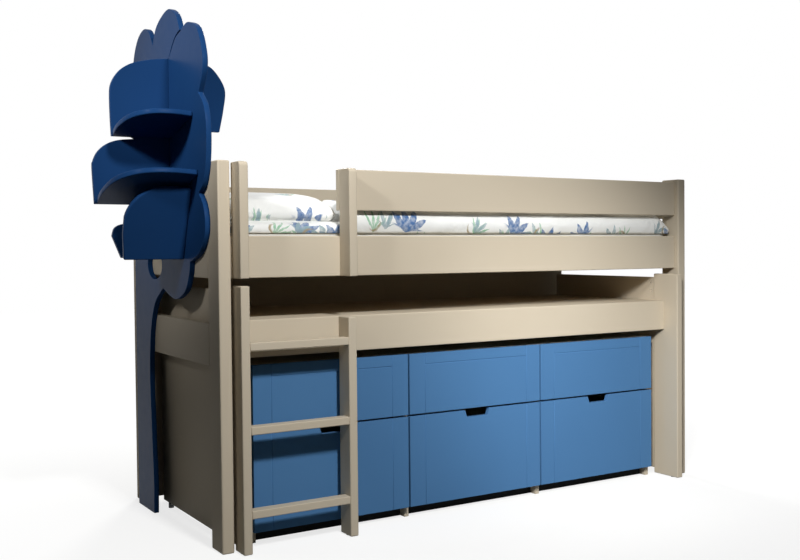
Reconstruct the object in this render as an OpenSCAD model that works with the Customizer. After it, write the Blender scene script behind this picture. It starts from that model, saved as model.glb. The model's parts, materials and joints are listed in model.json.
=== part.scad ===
// Mid sleeper bed: two end frames carry a guarded bed base, a ladder desk pulls out from under it,
// a six-drawer chest stands below, and a tree-shaped bookcase is screwed to the outer left end.

/* [Bed frame] */
// Length over the two end frames
bed_length = 2090; // [1900:5:2200]
// Depth over the posts, without the guard posts in front
bed_depth = 1000; // [960:5:1200]
// Rise of the corner posts over the front guard rail
post_rise = 13; // [5:1:60]
// Post width along the bed
post_w = 41; // [36:1:50]
// Post depth across the bed
post_d = 105; // [80:1:120]
// Thickness of the side rails
rail_t = 26; // [20:1:30]
// Setback of the side rails from the post faces
rail_inset = 22; // [15:1:30]
// Height of the bed rails
bed_rail_h = 141; // [120:1:150]
// Open slot under the end and rear guard rails
guard_gap = 78; // [60:1:80]
// Height of the end and rear guard rails
guard_rail_h = 137; // [110:1:145]
// Open slot under the front guard rail
front_guard_gap = 90; // [75:1:95]
// Height of the front guard rail
front_guard_h = 145; // [140:1:160]
// Thickness of the end rails
end_rail_t = 28; // [22:1:35]
// Underside of the middle end rails
mid_rail_bottom = 615; // [600:1:640]
// Height of the middle end rails
mid_rail_h = 143; // [110:1:150]
// Thickness of the back panel
back_t = 12; // [8:1:16]

/* [Guard posts] */
// Thickness of guard posts and ladder stiles
stile_t = 30; // [24:1:34]
// How far they stand in front of the posts
stile_proud = 60; // [45:1:70]
// Outer face of the left guard post and stile
stile_x = 51; // [48:1:60]
// Distance between the first and the second of them
stile_pitch = 383; // [340:1:450]
// Offset of the middle guard post from the right stile
guard_offset = 7; // [0:1:10]
// Length of the left guard post
guard_post_h = 384; // [370:1:390]
// Radius on the guard posts' front top corner
guard_round = 16; // [4:1:25]

/* [Bed base and bedding] */
// Number of slats
slat_count = 13; // [8:1:18]
// Slat width
slat_w = 70; // [50:1:90]
// Slat thickness
slat_t = 18; // [12:1:22]
// Bearer section
bearer_s = 24; // [18:1:25]
// Mattress thickness
mattress_h = 130; // [100:1:135]
// Room between mattress and frame
mattress_gap = 6; // [5:1:12]
// Duvet thickness
duvet_t = 60; // [50:1:70]
// Thickness that is left of the duvet under the pillow
duvet_press = 14; // [10:1:30]
// Distance from the pillow's ends to the mattress edge
pillow_side = 14; // [10:1:120]
// Pillow width along the bed
pillow_w = 415; // [350:5:450]
// Pillow thickness
pillow_h = 112; // [80:1:150]

/* [Pull-out desk] */
// Height of the desk's side panels
desk_side_h = 869; // [800:1:900]
// Rise of the left stile and right front board over the side panels
upright_rise = 16; // [5:1:20]
// Clearance between these uprights and the bed rails
under_bed_gap = 24; // [15:1:60]
// Top of the desk
desk_top_z = 768; // [740:1:790]
// Thickness of the desk top
desk_top_t = 22; // [18:1:28]
// Height of the front beam
beam_h = 126; // [100:1:130]
// Thickness of the front beam
beam_t = 26; // [20:1:32]
// Distance from the desk to the back panel
desk_back_gap = 71; // [40:1:250]
// Thickness of the side panels
side_t = 22; // [18:1:26]
// Gap under the side panels
side_lift = 22; // [15:1:30]
// Distance from the desk to the bed's right end
desk_end_gap = 75; // [60:1:90]
// Depth of the right front board
right_board_d = 150; // [100:1:160]
// Rung height
rung_h = 27; // [22:1:35]
// Rung depth
rung_d = 45; // [35:1:60]
// Rise from one rung to the next
rung_rise = 277; // [250:1:285]
// Underside of the lowest rung
rung_first = 118; // [100:1:140]
// Thickness of the pads under the stiles
pad_t = 2; // [1:0.5:4]
// Side of the blocks that guide the desk
guide_block = 60; // [40:1:80]

/* [Drawer chest] */
// Left side of the chest
chest_x = 125; // [115:1:135]
// Distance from the chest to the bed's right end
chest_end_gap = 153; // [140:1:200]
// Front of the drawers
front_y = 50; // [45:1:60]
// Depth of the carcass
chest_depth = 545; // [400:5:600]
// Thickness of the carcass boards
board_t = 18; // [15:1:22]
// Thickness of the drawer fronts
front_t = 22; // [18:1:24]
// Underside of the lower fronts
front_bottom = 40; // [30:1:60]
// Height of the lower fronts
lower_front_h = 340; // [280:1:342]
// Height of the upper fronts
upper_front_h = 228; // [190:1:230]
// Gap between drawer fronts
front_gap = 5; // [2:0.5:6]
// Space between the drawer boxes and the chest's back
box_clear = 48; // [30:1:150]
// Thickness of the drawer box boards
box_t = 12; // [10:1:16]
// Width of the runner space each side
runner_w = 12.5; // [12:0.5:15]
// Distance of the grooves from the fronts' edges
groove_inset = 66; // [50:1:90]
// Distance of the upper groove from the top edge
groove_drop = 40; // [30:1:60]
// Groove width
groove_w = 3; // [2:0.5:4]
// Groove depth
groove_deep = 1.5; // [1:0.5:3]
// Width of the hand notch at its top
notch_w = 114; // [80:1:130]
// Depth of the hand notch
notch_h = 27; // [20:1:35]
// Setback of the plinth from the carcass front
plinth_back = 33; // [20:1:50]

/* [Tree bookcase] */
// Thickness of the tree's boards
tree_t = 18; // [15:1:20]
// Overlap of the tree board and the left rear post
tree_lap = 10; // [5:1:20]
// Height of the tree board
tree_top = 1862; // [1800:1:1900]
// Reach of the cross board away from the bed
tree_reach = 282; // [260:1:290]
// Rise of the top and middle shelf towards the front, in degrees
shelf_rise = [12, 16.7]; // [0:0.1:18]
// Forward lean of the low pocket's front, in degrees
front_lean = 21; // [15:1:22]

/* [Fit] */
// Running clearance between sliding pieces
slide_gap = 0.4; // [0.3:0.1:1]
// Clearance of the cross board in its slot
slot_gap = 0.2; // [0.1:0.05:0.5]
// Clearance round bedding
soft_gap = 0.5; // [0.3:0.1:1]

/* [Hidden] */
$fn = 48;

lacquer = [0.76, 0.71, 0.62];
drawer_blue = [0.35, 0.52, 0.70];
tree_blue = [0.16, 0.31, 0.49];
linen = [0.93, 0.94, 0.93];
board_grey = [0.22, 0.23, 0.24];
steel = [0.62, 0.63, 0.65];

inner_x0 = post_w;
inner_x1 = bed_length - post_w;
front_rail_y = rail_inset;
rear_rail_y = bed_depth - rail_inset - rail_t;
inner_y0 = front_rail_y + rail_t;
inner_y1 = rear_rail_y;
desk_end_h = desk_side_h + upright_rise;
bed_rail_bottom = desk_end_h + under_bed_gap;
bed_rail_top = bed_rail_bottom + bed_rail_h;
guard_rail_bottom = bed_rail_top + guard_gap;
front_guard_bottom = bed_rail_top + front_guard_gap;
front_guard_top = front_guard_bottom + front_guard_h;
post_height = front_guard_top + post_rise;
guard_post_d = stile_proud + rail_inset;
back_y = bed_depth - post_d - back_t;
bearer_z = bed_rail_bottom + 2;
slat_z = bearer_z + bearer_s;
mattress_z = slat_z + slat_t;
mattress_top = mattress_z + mattress_h;
mattress_x0 = inner_x0 + mattress_gap;
mattress_x1 = inner_x1 - mattress_gap;
mattress_y0 = inner_y0 + mattress_gap;
mattress_y1 = inner_y1 - mattress_gap;
mattress_round = 30;
hem_z = bed_rail_top + 6;
duvet_low = soft_gap + 2 + (duvet_t - soft_gap - 2) * duvet_press / duvet_t;
pillow_z = mattress_top + duvet_low + soft_gap;
pillow_l = mattress_y1 - mattress_y0 - 2 * pillow_side;
pillow_x1 = mattress_x0 + 14 + pillow_w;

second_x = stile_x + stile_pitch;
desk_x0 = stile_x + stile_t;
desk_y0 = rail_inset;
desk_y1 = back_y - desk_back_gap;
desk_right = bed_length - desk_end_gap;
right_board_x = desk_right - stile_t;
beam_bottom = desk_top_z - beam_h;
rear_rail_h = 84;

columns = 3;
column_w = (bed_length - chest_x - chest_end_gap) / columns;
chest_front = front_y + front_t + front_gap;
chest_rear = chest_front + chest_depth;
chest_w = columns * column_w;
lower_top = front_bottom + lower_front_h;
upper_bottom = lower_top + front_gap;
chest_top_z = upper_bottom + upper_front_h - board_t;
box_back = chest_rear - box_clear;
runner_t = 2;
runner_leg = 34;
runner_shelf = 9;

// Places in the tree's outlines are in thousandths of its depth, reach and height.
tree_rear = bed_depth - post_d + tree_lap;
ky = tree_rear / 1000;
kx = tree_reach / 1000;
kz = tree_top / 1000;
cross_y = 487.3 * ky;
wing_z = 770.7 * kz;
wing_top = 905.5 * kz;
shelf_z = [752.4 * kz, 625.1 * kz, 524.7 * kz];
shelf_reach = [695 * kx, 893.6 * kx, 606 * kx];
shelf_depth = [302.8 * ky, 364.6 * ky, 148.1 * ky];
low_front_h = 130.5 * kz;
low_front_w = 780 * kx;

// Everything is drawn from the bed's left front corner; this moves the part's middle over the origin.
module placed() {
    translate([(tree_reach - bed_length) / 2, (stile_proud - bed_depth) / 2, 0]) children();
}

module board(low, high) {
    placed() translate(low) cube(high - low);
}

// Points of an ellipse's arc from angle a0 to a1.
function arc(cx, cy, rx, ry, a0, a1, n) =
    [for (i = [0 : n]) let (a = a0 + (a1 - a0) * i / n) [cx + rx * cos(a), cy + ry * sin(a)]];

module end_post(x, y) {
    color(lacquer) board([x, y, 0], [x + post_w, y + post_d, post_height]);
}

// Rails of an end frame lie flush with the posts' outer faces.
module end_rail(left, z, h) {
    x = left ? 0 : bed_length - end_rail_t;
    color(lacquer) board([x, post_d, z], [x + end_rail_t, bed_depth - post_d, z + h]);
}

module side_rail(y, z, h) {
    color(lacquer) board([inner_x0, y, z], [inner_x1, y + rail_t, z + h]);
}

// The front guard rail starts at the middle guard post and leaves the ladder's way in open.
module front_guard_rail() {
    x = second_x + guard_offset;
    color(lacquer)
        board([x, front_rail_y, front_guard_bottom], [inner_x1, inner_y0, front_guard_top]);
}

// Upright fin screwed to the front of the side rails, its front top corner rounded.
module guard_post(x, top) {
    color(lacquer) placed() translate([x + stile_t, 0, 0]) rotate([0, -90, 0])
        linear_extrude(stile_t) {
            translate([bed_rail_bottom, -stile_proud])
                square([top - guard_round - bed_rail_bottom, guard_post_d]);
            translate([bed_rail_bottom, -stile_proud + guard_round])
                square([top - bed_rail_bottom, guard_post_d - guard_round]);
            translate([top - guard_round, -stile_proud + guard_round]) circle(guard_round);
        }
}

module back_panel() {
    top = bed_rail_bottom - 4;
    rear = back_y + back_t;
    color(lacquer) board([inner_x0, back_y, side_lift], [inner_x1, rear, top]);
    color(lacquer) for (x = [inner_x0, inner_x1 - bearer_s])
        board([x, rear, side_lift], [x + bearer_s, rear + bearer_s, top]);
}

// Steel angles in the inside corners where two guard rails meet.
module rail_brackets() {
    leg = 40;
    thick = 2.5;
    high = guard_rail_h - 40;
    for (corner = [[inner_x0, inner_y1, 1, -1], [inner_x1, inner_y1, -1, -1], [inner_x1, inner_y0, -1, 1]])
        color(steel) placed() translate([corner[0], corner[1], guard_rail_bottom + 20]) {
            translate([corner[2] > 0 ? 0 : -leg, corner[3] > 0 ? 0 : -thick, 0])
                cube([leg, thick, high]);
            translate([corner[2] > 0 ? 0 : -thick, corner[3] > 0 ? 0 : -leg, 0])
                cube([thick, leg, high]);
        }
}

module slat_bearers() {
    for (y = [inner_y0, inner_y1 - bearer_s])
        color(lacquer) board([inner_x0 + 2, y, bearer_z], [inner_x1 - 2, y + bearer_s, bearer_z + bearer_s]);
}

module slats() {
    first = inner_x0 + 60;
    step = (inner_x1 - inner_x0 - 120 - slat_w) / (slat_count - 1);
    for (i = [0 : slat_count - 1]) {
        x = first + i * step;
        color([0.82, 0.71, 0.53])
            board([x, inner_y0 + 3, slat_z], [x + slat_w, inner_y1 - 3, slat_z + slat_t]);
    }
}

// Closed skin over rings of equal point counts, capped by a fan at both ends.
module skin(rings) {
    n = len(rings[0]);
    m = len(rings);
    points = [for (ring = rings) each ring];
    sides = [for (k = [0 : m - 2], i = [0 : n - 1]) let (j = (i + 1) % n)
        each [[k * n + i, (k + 1) * n + i, k * n + j], [k * n + j, (k + 1) * n + i, (k + 1) * n + j]]];
    low = [for (i = [1 : n - 2]) [0, i, i + 1]];
    high = [for (i = [1 : n - 2]) [(m - 1) * n, (m - 1) * n + i + 1, (m - 1) * n + i]];
    polyhedron([for (p = points) p], concat(sides, low, high));
}

// Mattress outline: a rectangle with round corners, drawn in by an inset.
function mattress_ring(inset, z, r) = [
    for (c = [[1, 1, 0], [-1, 1, 90], [-1, -1, 180], [1, -1, 270]], i = [0 : 5])
        let (a = c[2] + i * 18,
             cx = (mattress_x0 + mattress_x1) / 2 + c[0] * ((mattress_x1 - mattress_x0) / 2 - r),
             cy = (mattress_y0 + mattress_y1) / 2 + c[1] * ((mattress_y1 - mattress_y0) / 2 - r))
        [cx + (r - inset) * cos(a), cy + (r - inset) * sin(a), z]
];

module mattress() {
    r = 60;
    rise = mattress_round;
    mid = mattress_h / 2;
    color(linen) placed() skin([
        mattress_ring(14, mattress_z, r),
        mattress_ring(4, mattress_z + 6, r),
        mattress_ring(0, mattress_z + 16, r),
        mattress_ring(3, mattress_z + mid - 12, r),
        mattress_ring(0, mattress_top - rise, r),
        mattress_ring(rise * 0.13, mattress_top - rise * 0.5, r),
        mattress_ring(rise * 0.5, mattress_top - rise * 0.13, r),
        mattress_ring(rise, mattress_top, r)
    ]);
}

// Cushion of two crowned sheets that meet in a rim whose sides are drawn in between the corners.
function pillow_point(u, v, top) =
    let (half_l = pillow_l / 2, half_w = pillow_w / 2,
         full = pow(max(0, (1 - pow(abs(u), 3)) * (1 - pow(abs(v), 3))), 0.6),
         rim_z = pillow_h * 0.16)
    [half_w * u * (1 - 0.05 * (1 - v * v)),
     half_l * v * (1 - 0.04 * (1 - u * u)),
     top ? rim_z + (pillow_h - rim_z) * full : rim_z * (1 - min(1, full * 1.8))];

module sheet_pair(nu, nv, top, bottom) {
    n = nu + 1;
    all = n * (nv + 1);
    cell = function (i, j) j * n + i;
    upper = [for (i = [0 : nu - 1], j = [0 : nv - 1])
        each [[cell(i, j), cell(i + 1, j + 1), cell(i + 1, j)],
              [cell(i, j), cell(i, j + 1), cell(i + 1, j + 1)]]];
    lower = [for (f = upper) [f[0] + all, f[2] + all, f[1] + all]];
    rim = concat([for (i = [0 : nu - 1]) [cell(i, 0), cell(i + 1, 0)]],
                 [for (j = [0 : nv - 1]) [cell(nu, j), cell(nu, j + 1)]],
                 [for (i = [nu : -1 : 1]) [cell(i, nv), cell(i - 1, nv)]],
                 [for (j = [nv : -1 : 1]) [cell(0, j), cell(0, j - 1)]]);
    wall = [for (e = rim) each [[e[0], e[1], e[1] + all], [e[0], e[1] + all, e[0] + all]]];
    polyhedron(concat(top, bottom), concat(upper, lower, wall));
}

module pillow() {
    nu = 14;
    nv = 18;
    seam = 1.5;
    top = [for (j = [0 : nv], i = [0 : nu])
        pillow_point(i / nu * 2 - 1, j / nv * 2 - 1, true) + [0, 0, seam]];
    bottom = [for (j = [0 : nv], i = [0 : nu])
        pillow_point(i / nu * 2 - 1, j / nv * 2 - 1, false)];
    color(linen) placed()
        translate([pillow_x1 - pillow_w / 2, (inner_y0 + inner_y1) / 2, pillow_z])
            sheet_pair(nu, nv, top, bottom);
}

// Half section of the duvet from its hem inwards: distance from the hem, height over the hem.
function outer_section() = let (h = mattress_top + duvet_t - hem_z)
    [[0, 0], [1, h * 0.3], [4, h * 0.58], [16, h * 0.8], [44, h * 0.93], [110, h * 0.98], [250, h]];
function inner_section() = let (rise = mattress_top - hem_z, skin_y = mattress_gap - 2)
    [[skin_y - 1.2, 0], [skin_y - 0.6, rise * 0.2], [skin_y + mattress_round * 0.08, rise * 0.48],
     [skin_y + mattress_round * 0.3, rise * 0.84], [skin_y + mattress_round * 0.95, rise],
     [110, rise], [250, rise]];
function whole_section(half) = concat(
    [for (p = half) [inner_y0 + 2 + p[0], p[1]]],
    [for (i = [len(half) - 1 : -1 : 0]) [inner_y1 - 2 - half[i][0], half[i][1]]]);

// The duvet covers the whole mattress: pressed thin under the pillow, puffed up beside it, and in
// long soft folds from there to the foot.
module duvet() {
    x0 = mattress_x0 + 8;
    x1 = mattress_x1 - 8;
    free = pillow_x1 + 4;
    xs = concat([for (i = [0 : 5]) x0 + (free - x0) * i / 6],
                [for (i = [0 : 3]) free + 20 * i],
                [for (i = [0 : 26]) free + 80 + (x1 - free - 80) * i / 26]);
    outer = whole_section(outer_section());
    inner = whole_section(inner_section());
    nv = len(outer) - 1;
    rise = mattress_top - hem_z;
    fold = function (d) 38 * max(0, 1 - pow(max(0, d - 60) / 240, 2));
    puff = function (d) d < 0 ? 0 : d > 80 ? 1 : pow(sin(d / 80 * 90), 2);
    taper = function (x) min(1, pow(max(1, min(x - x0, x1 - x)) / 70, 0.5));
    top = [for (x = xs) let (u = puff(x - free), q = taper(x)) each [for (j = [0 : nv])
        let (p = outer[j], b = inner[j][1] + soft_gap + 2,
             w = p[1] > rise * 2 ? u : 0,
             wave = w * (5 * sin(x * 0.82 + j * 21) + 4 * sin(x * 0.46 - j * 47) + fold(x - free)),
             share = q * (u + (1 - u) * duvet_press / duvet_t))
        [x, p[0], hem_z + max(b, b + (p[1] + wave - b) * share)]]];
    bottom = [for (x = xs) each [for (j = [0 : nv]) [x, inner[j][0], hem_z + inner[j][1] + soft_gap]]];
    color(linen) placed() sheet_pair(nv, len(xs) - 1, top, bottom);
}

// Nylon blocks on the middle end rails keep the pulled-out desk straight.
module desk_guides() {
    z = mid_rail_bottom + (mid_rail_h - guide_block) / 2;
    top = z + guide_block;
    for (y = [bed_depth * 0.195, bed_depth * 0.665]) {
        rear = y + guide_block;
        color([0.9, 0.9, 0.88]) board([end_rail_t, y, z], [stile_x - slide_gap, rear, top]);
        color([0.9, 0.9, 0.88])
            board([desk_right + slide_gap, y, z], [bed_length - end_rail_t, rear, top]);
    }
}

module stile(x, top) {
    color(lacquer) board([x, -stile_proud, pad_t], [x + stile_t, rail_inset, top]);
}

module rungs() {
    for (i = [0 : 2]) {
        z = rung_first + i * rung_rise;
        color(lacquer) board([desk_x0, -stile_proud, z], [second_x, -stile_proud + rung_d, z + rung_h]);
    }
}

module desk_beam() {
    color(lacquer) board([desk_x0, desk_y0, beam_bottom], [right_board_x, desk_y0 + beam_t, desk_top_z]);
}

// The top runs between the side panels and is notched round the right front board.
module desk_top() {
    z = desk_top_z - desk_top_t;
    color(lacquer) difference() {
        board([stile_x + side_t, desk_y0 + beam_t, z], [desk_right - side_t, desk_y1, desk_top_z]);
        board([right_board_x, 0, z - 1], [desk_right, right_board_d - stile_proud, desk_top_z + 1]);
    }
}

module desk_rear_rail() {
    z = desk_top_z - desk_top_t;
    color(lacquer)
        board([stile_x + side_t, desk_y1 - beam_t, z - rear_rail_h], [desk_right - side_t, desk_y1, z]);
}

// Side panels hang between the front stile and the desk top, clear of the floor.
module desk_left_side() {
    color(lacquer) board([stile_x, desk_y0, side_lift], [stile_x + side_t, desk_y1, desk_side_h]);
}

// The right panel has two shelf-pin holes in its inner face near the top.
module desk_right_side() {
    x0 = desk_right - side_t;
    y0 = right_board_d - stile_proud;
    color(lacquer) difference() {
        board([x0, y0, side_lift], [desk_right, desk_y1, desk_side_h]);
        for (z = [desk_side_h - 24, desk_side_h - 59])
            placed() translate([x0 - 1, y0 + 28, z]) rotate([0, 90, 0]) cylinder(r = 4, h = 13);
    }
}

module desk_right_board() {
    color(lacquer)
        board([right_board_x, -stile_proud, pad_t], [desk_right, right_board_d - stile_proud, desk_end_h]);
}

// Pads under the upright ends and taller gliders under the side panels.
module desk_feet() {
    front = -stile_proud + guard_post_d / 2;
    for (x = [stile_x, second_x, right_board_x])
        color(board_grey) placed() translate([x + stile_t / 2, front, 0]) cylinder(r = 12, h = pad_t);
    for (x = [stile_x + side_t / 2, desk_right - side_t / 2], y = [desk_y0 + 180, desk_y1 - 60])
        color(board_grey) placed() translate([x, y, 0]) cylinder(r = 10, h = side_lift);
}

function upright_x(i) = i == 0 ? chest_x :
    i == columns ? chest_x + chest_w - board_t : chest_x + i * column_w - board_t / 2;

module chest_uprights() {
    for (i = [0 : columns]) {
        x = upright_x(i);
        color(lacquer) board([x, chest_front, 0], [x + board_t, chest_rear, chest_top_z]);
    }
}

module chest_top() {
    color(lacquer)
        board([chest_x, chest_front, chest_top_z], [chest_x + chest_w, chest_rear, chest_top_z + board_t]);
}

module between_uprights(y0, y1, z0, z1, shade) {
    for (i = [0 : columns - 1])
        color(shade) board([upright_x(i) + board_t, y0, z0], [upright_x(i + 1), y1, z1]);
}

module chest_bottoms() {
    between_uprights(chest_front, chest_rear, front_bottom, front_bottom + board_t, lacquer);
}

module chest_plinths() {
    y = chest_front + plinth_back;
    between_uprights(y, y + board_t, 0, front_bottom, board_grey);
}

module chest_back() {
    top = chest_top_z + board_t;
    color(lacquer)
        board([chest_x, chest_rear, front_bottom], [chest_x + chest_w, chest_rear + 6, top]);
}

function box_bottom(upper) = upper ? upper_bottom + 18 : front_bottom + board_t + 14;
function box_height(upper) = upper ? upper_front_h - 60 : lower_front_h - 90;

// Angle runners screwed to the uprights; each drawer box stands on a pair of them.
module drawer_runners() {
    for (i = [0 : columns - 1], upper = [false, true]) {
        z = box_bottom(upper) - slide_gap - runner_t;
        x0 = upright_x(i) + board_t;
        x1 = upright_x(i + 1);
        for (side = [0, 1]) {
            ledge = runner_w + runner_shelf;
            leg_x = side == 0 ? x0 : x1 - runner_t;
            ledge_x = side == 0 ? x0 : x1 - ledge;
            color(steel) union() {
                board([leg_x, chest_front + 4, z], [leg_x + runner_t, box_back, z + runner_leg]);
                board([ledge_x, chest_front + 4, z], [ledge_x + ledge, box_back, z + runner_t]);
            }
        }
    }
}

// A front has a groove near each side, the upper ones one more near the top; the lower has a hand notch.
module drawer_front(i, upper) {
    x0 = chest_x + i * column_w + front_gap / 2;
    x1 = chest_x + (i + 1) * column_w - front_gap / 2;
    z0 = upper ? upper_bottom : front_bottom;
    z1 = z0 + (upper ? upper_front_h : lower_front_h);
    mid = (x0 + x1) / 2;
    half = notch_w / 2;
    color(drawer_blue) difference() {
        board([x0, front_y, z0], [x1, front_y + front_t, z1]);
        for (x = [x0 + groove_inset, x1 - groove_inset])
            board([x - groove_w / 2, front_y - 1, z0 - 1], [x + groove_w / 2, front_y + groove_deep, z1 + 1]);
        if (upper)
            board([x0 + groove_inset, front_y - 1, z1 - groove_drop - groove_w],
                  [x1 - groove_inset, front_y + groove_deep, z1 - groove_drop]);
        else
            placed() translate([mid, front_y - 1, z1]) rotate([-90, 0, 0]) linear_extrude(front_t + 2)
                polygon([[-half, -1], [half, -1], [half - 9, notch_h], [9 - half, notch_h]]);
    }
}

// Open-topped box of an inner front, a back, two sides and a bottom.
module drawer_box(i, upper) {
    x0 = upright_x(i) + board_t + runner_w;
    x1 = upright_x(i + 1) - runner_w;
    y0 = front_y + front_t;
    y1 = box_back;
    z0 = box_bottom(upper);
    z1 = z0 + box_height(upper);
    color([0.85, 0.83, 0.78]) {
        board([x0, y0, z0], [x0 + box_t, y1, z1]);
        board([x1 - box_t, y0, z0], [x1, y1, z1]);
        board([x0 + box_t, y0, z0], [x1 - box_t, y0 + box_t, z1 - (upper ? 0 : notch_h)]);
        board([x0 + box_t, y1 - box_t, z0], [x1 - box_t, y1, z1]);
        board([x0 + box_t, y0 + box_t, z0], [x1 - box_t, y1 - box_t, z0 + 6]);
    }
}

// Smooth open curve through the given points, its last point left out.
function curve(p, n = 6) = [for (i = [0 : len(p) - 2], k = [0 : n - 1])
    let (a = p[max(0, i - 1)], b = p[i], c = p[i + 1], d = p[min(len(p) - 1, i + 2)], t = k / n)
    b + ((c - a) * t + (2 * a - 5 * b + 4 * c - d) * t * t + (3 * b - a - 3 * c + d) * t * t * t) / 2];

// Outline of the tree board in depth and height: trunk, three side lobes and three crown leaves.
function trunk_edge() = curve(
    [[773.5, 0], [770.2, 68.7], [787.8, 170.2], [802.2, 292.7], [779, 375.9], [716, 432.3],
    [602.2, 464]]);
function low_lobe() = curve(
    [[602.2, 464], [537, 453.3], [435.4, 445.2], [322.7, 462.4], [271.8, 493], [257.5, 517.2]]);
function middle_lobe() = curve(
    [[257.5, 517.2], [152.5, 533.8], [91.7, 562.8], [80.7, 590.8], [101.7, 620.3], [149.2, 641.8]]);
function top_lobe() = curve(
    [[149.2, 641.8], [96.1, 658.4], [61.9, 698.2], [54.1, 751.9], [77.3, 794.8], [137, 821.7]]);
function front_leaf() = curve(
    [[137, 821.7], [86.2, 859.3], [88.4, 892.6], [143.6, 937.2], [238.7, 955.4], [298.3, 953.3],
    [334.8, 946.3]]);
function slit_down() = curve(
    [[334.8, 946.3], [386.7, 940.9], [425.4, 930.2], [453, 918.4], [476.2, 910.3]]);
function slit_up() = curve(
    [[476.2, 910.3], [456.4, 920.5], [428.7, 932.3], [389.5, 943.3], [341.4, 949.5]]);
function middle_leaf() = curve(
    [[341.4, 949.5], [389, 981.7], [480.7, 1000], [585.6, 991.4], [657.5, 974.2], [692.8, 947.4]]);
function rear_leaf() = curve(
    [[692.8, 947.4], [751.4, 979.6], [825.4, 988.7], [906.1, 976.4], [965.7, 947.4], [1000, 902.3],
    [1000, 859.3]]);

module tree_board() {
    color(tree_blue) difference() {
        placed() rotate([0, -90, 0]) linear_extrude(tree_t) mirror([1, -1])
            polygon([for (q = concat(trunk_edge(), low_lobe(), middle_lobe(), top_lobe(),
                                     front_leaf(), slit_down(), slit_up(), middle_leaf(),
                                     rear_leaf(), [[1000, 859.3], [1000, 0]]))
                     [q[0] * ky, q[1] * kz]]);
        placed() translate([1, 0, 0]) rotate([0, -90, 0]) linear_extrude(tree_t + 2) mirror([1, -1])
            polygon([for (q = arc(712, 510.2, 97.2, 30.1, 0, 350, 35)) [q[0] * ky, q[1] * kz]]);
        board([-tree_t - 1, cross_y - slot_gap, wing_z - slot_gap],
              [1, cross_y + tree_t + slot_gap, wing_top + slot_gap]);
    }
}

// Outline of the cross board along the bed and in height: wing over the bed, crown, two outer lobes.
function wing_edge() = curve(
    [[581.6, 770.7], [641.8, 816.3], [663.1, 855.5], [546.1, 887.2], [414.9, 901.2], [212.8, 904.9],
    [0, 905.5]]);
function crown_edge() = curve(
    [[-63.8, 905.5], [-248.2, 902.3], [-492.9, 892.6], [-631.2, 880.2], [-719.9, 864.1],
    [-769.5, 846.9], [-780.1, 828.1], [-776.6, 789.5], [-766, 752.4]]);
function outer_lobe() = curve(
    [[-492.9, 749.2], [-659.6, 746.5], [-773, 741.7], [-872.3, 732.5], [-946.8, 719.7],
    [-989.4, 704.6], [-1000, 691.7], [-978.7, 625.1]]);
function low_tip() = curve(
    [[-496.5, 589.7], [-652.5, 588.6], [-748.2, 581.1], [-780.1, 566.1]]);

module cross_board() {
    inner = -tree_t / kx;
    outline = concat(wing_edge(), [[0, 905.5]], crown_edge(), [[-766, 752.4], [-530, 752.4]],
                     outer_lobe(), [[-978.7, 625.1], [-500, 625.1]], low_tip(),
                     [[-780.1, 566.1], [-673.8, 524.7], [inner, 524.7], [inner, 770.7]]);
    color(tree_blue) placed() translate([0, cross_y + tree_t, 0]) rotate([90, 0, 0])
        linear_extrude(tree_t) polygon([for (q = outline) [q[0] * kx, q[1] * kz]]);
}

// Flat shelf in the corner of the two boards, rising to the front, its outer front corner rounded.
module shelf(k) {
    a = shelf_reach[k];
    b = shelf_depth[k];
    color(tree_blue) difference() {
        placed() translate([-tree_t, cross_y, shelf_z[k]]) rotate([-shelf_rise[k], 0, 0])
            linear_extrude(tree_t)
                polygon(concat([[0, tree_t], [-a, tree_t]],
                               curve([[-a, 0], [-a - 8, -b * 0.35], [-a * 0.97, -b * 0.72],
                                      [-a * 0.74, -b * 0.95], [-a * 0.38, -b * 1.01],
                                      [0, -b * 0.97]], 8),
                               [[0, -b * 0.97]]));
        board([-a - 2 * tree_t, cross_y, shelf_z[k] - tree_t],
              [0, cross_y + 2 * tree_t, shelf_z[k] + 2 * tree_t]);
    }
}

// Floor of the low pocket, its front edge cut to the slope of the pocket's front.
module low_shelf() {
    cut = tree_t * tan(front_lean);
    color(tree_blue) placed() translate([-tree_t, 0, shelf_z[2]]) rotate([0, -90, 0])
        linear_extrude(shelf_reach[2])
            polygon([[0, cross_y - shelf_depth[2] + cut], [0, cross_y], [tree_t, cross_y],
                     [tree_t, cross_y - shelf_depth[2]]]);
}

// Front of the low pocket leans forward; its free upper corner is a large round.
module low_front() {
    r = low_front_h * 0.55;
    w = low_front_w;
    foot = tree_t / cos(front_lean);
    color(tree_blue) placed()
        translate([-tree_t, cross_y - shelf_depth[2], shelf_z[2] + tree_t]) rotate([90 + front_lean, 0, 0])
            linear_extrude(tree_t)
                polygon(concat([[0, -foot], [0, low_front_h]],
                               arc(-w + r + 6, low_front_h - r, r, r, 90, 170, 14),
                               [[-w + 8, low_front_h * 0.3], [-w + 18, -foot]]));
}

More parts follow.
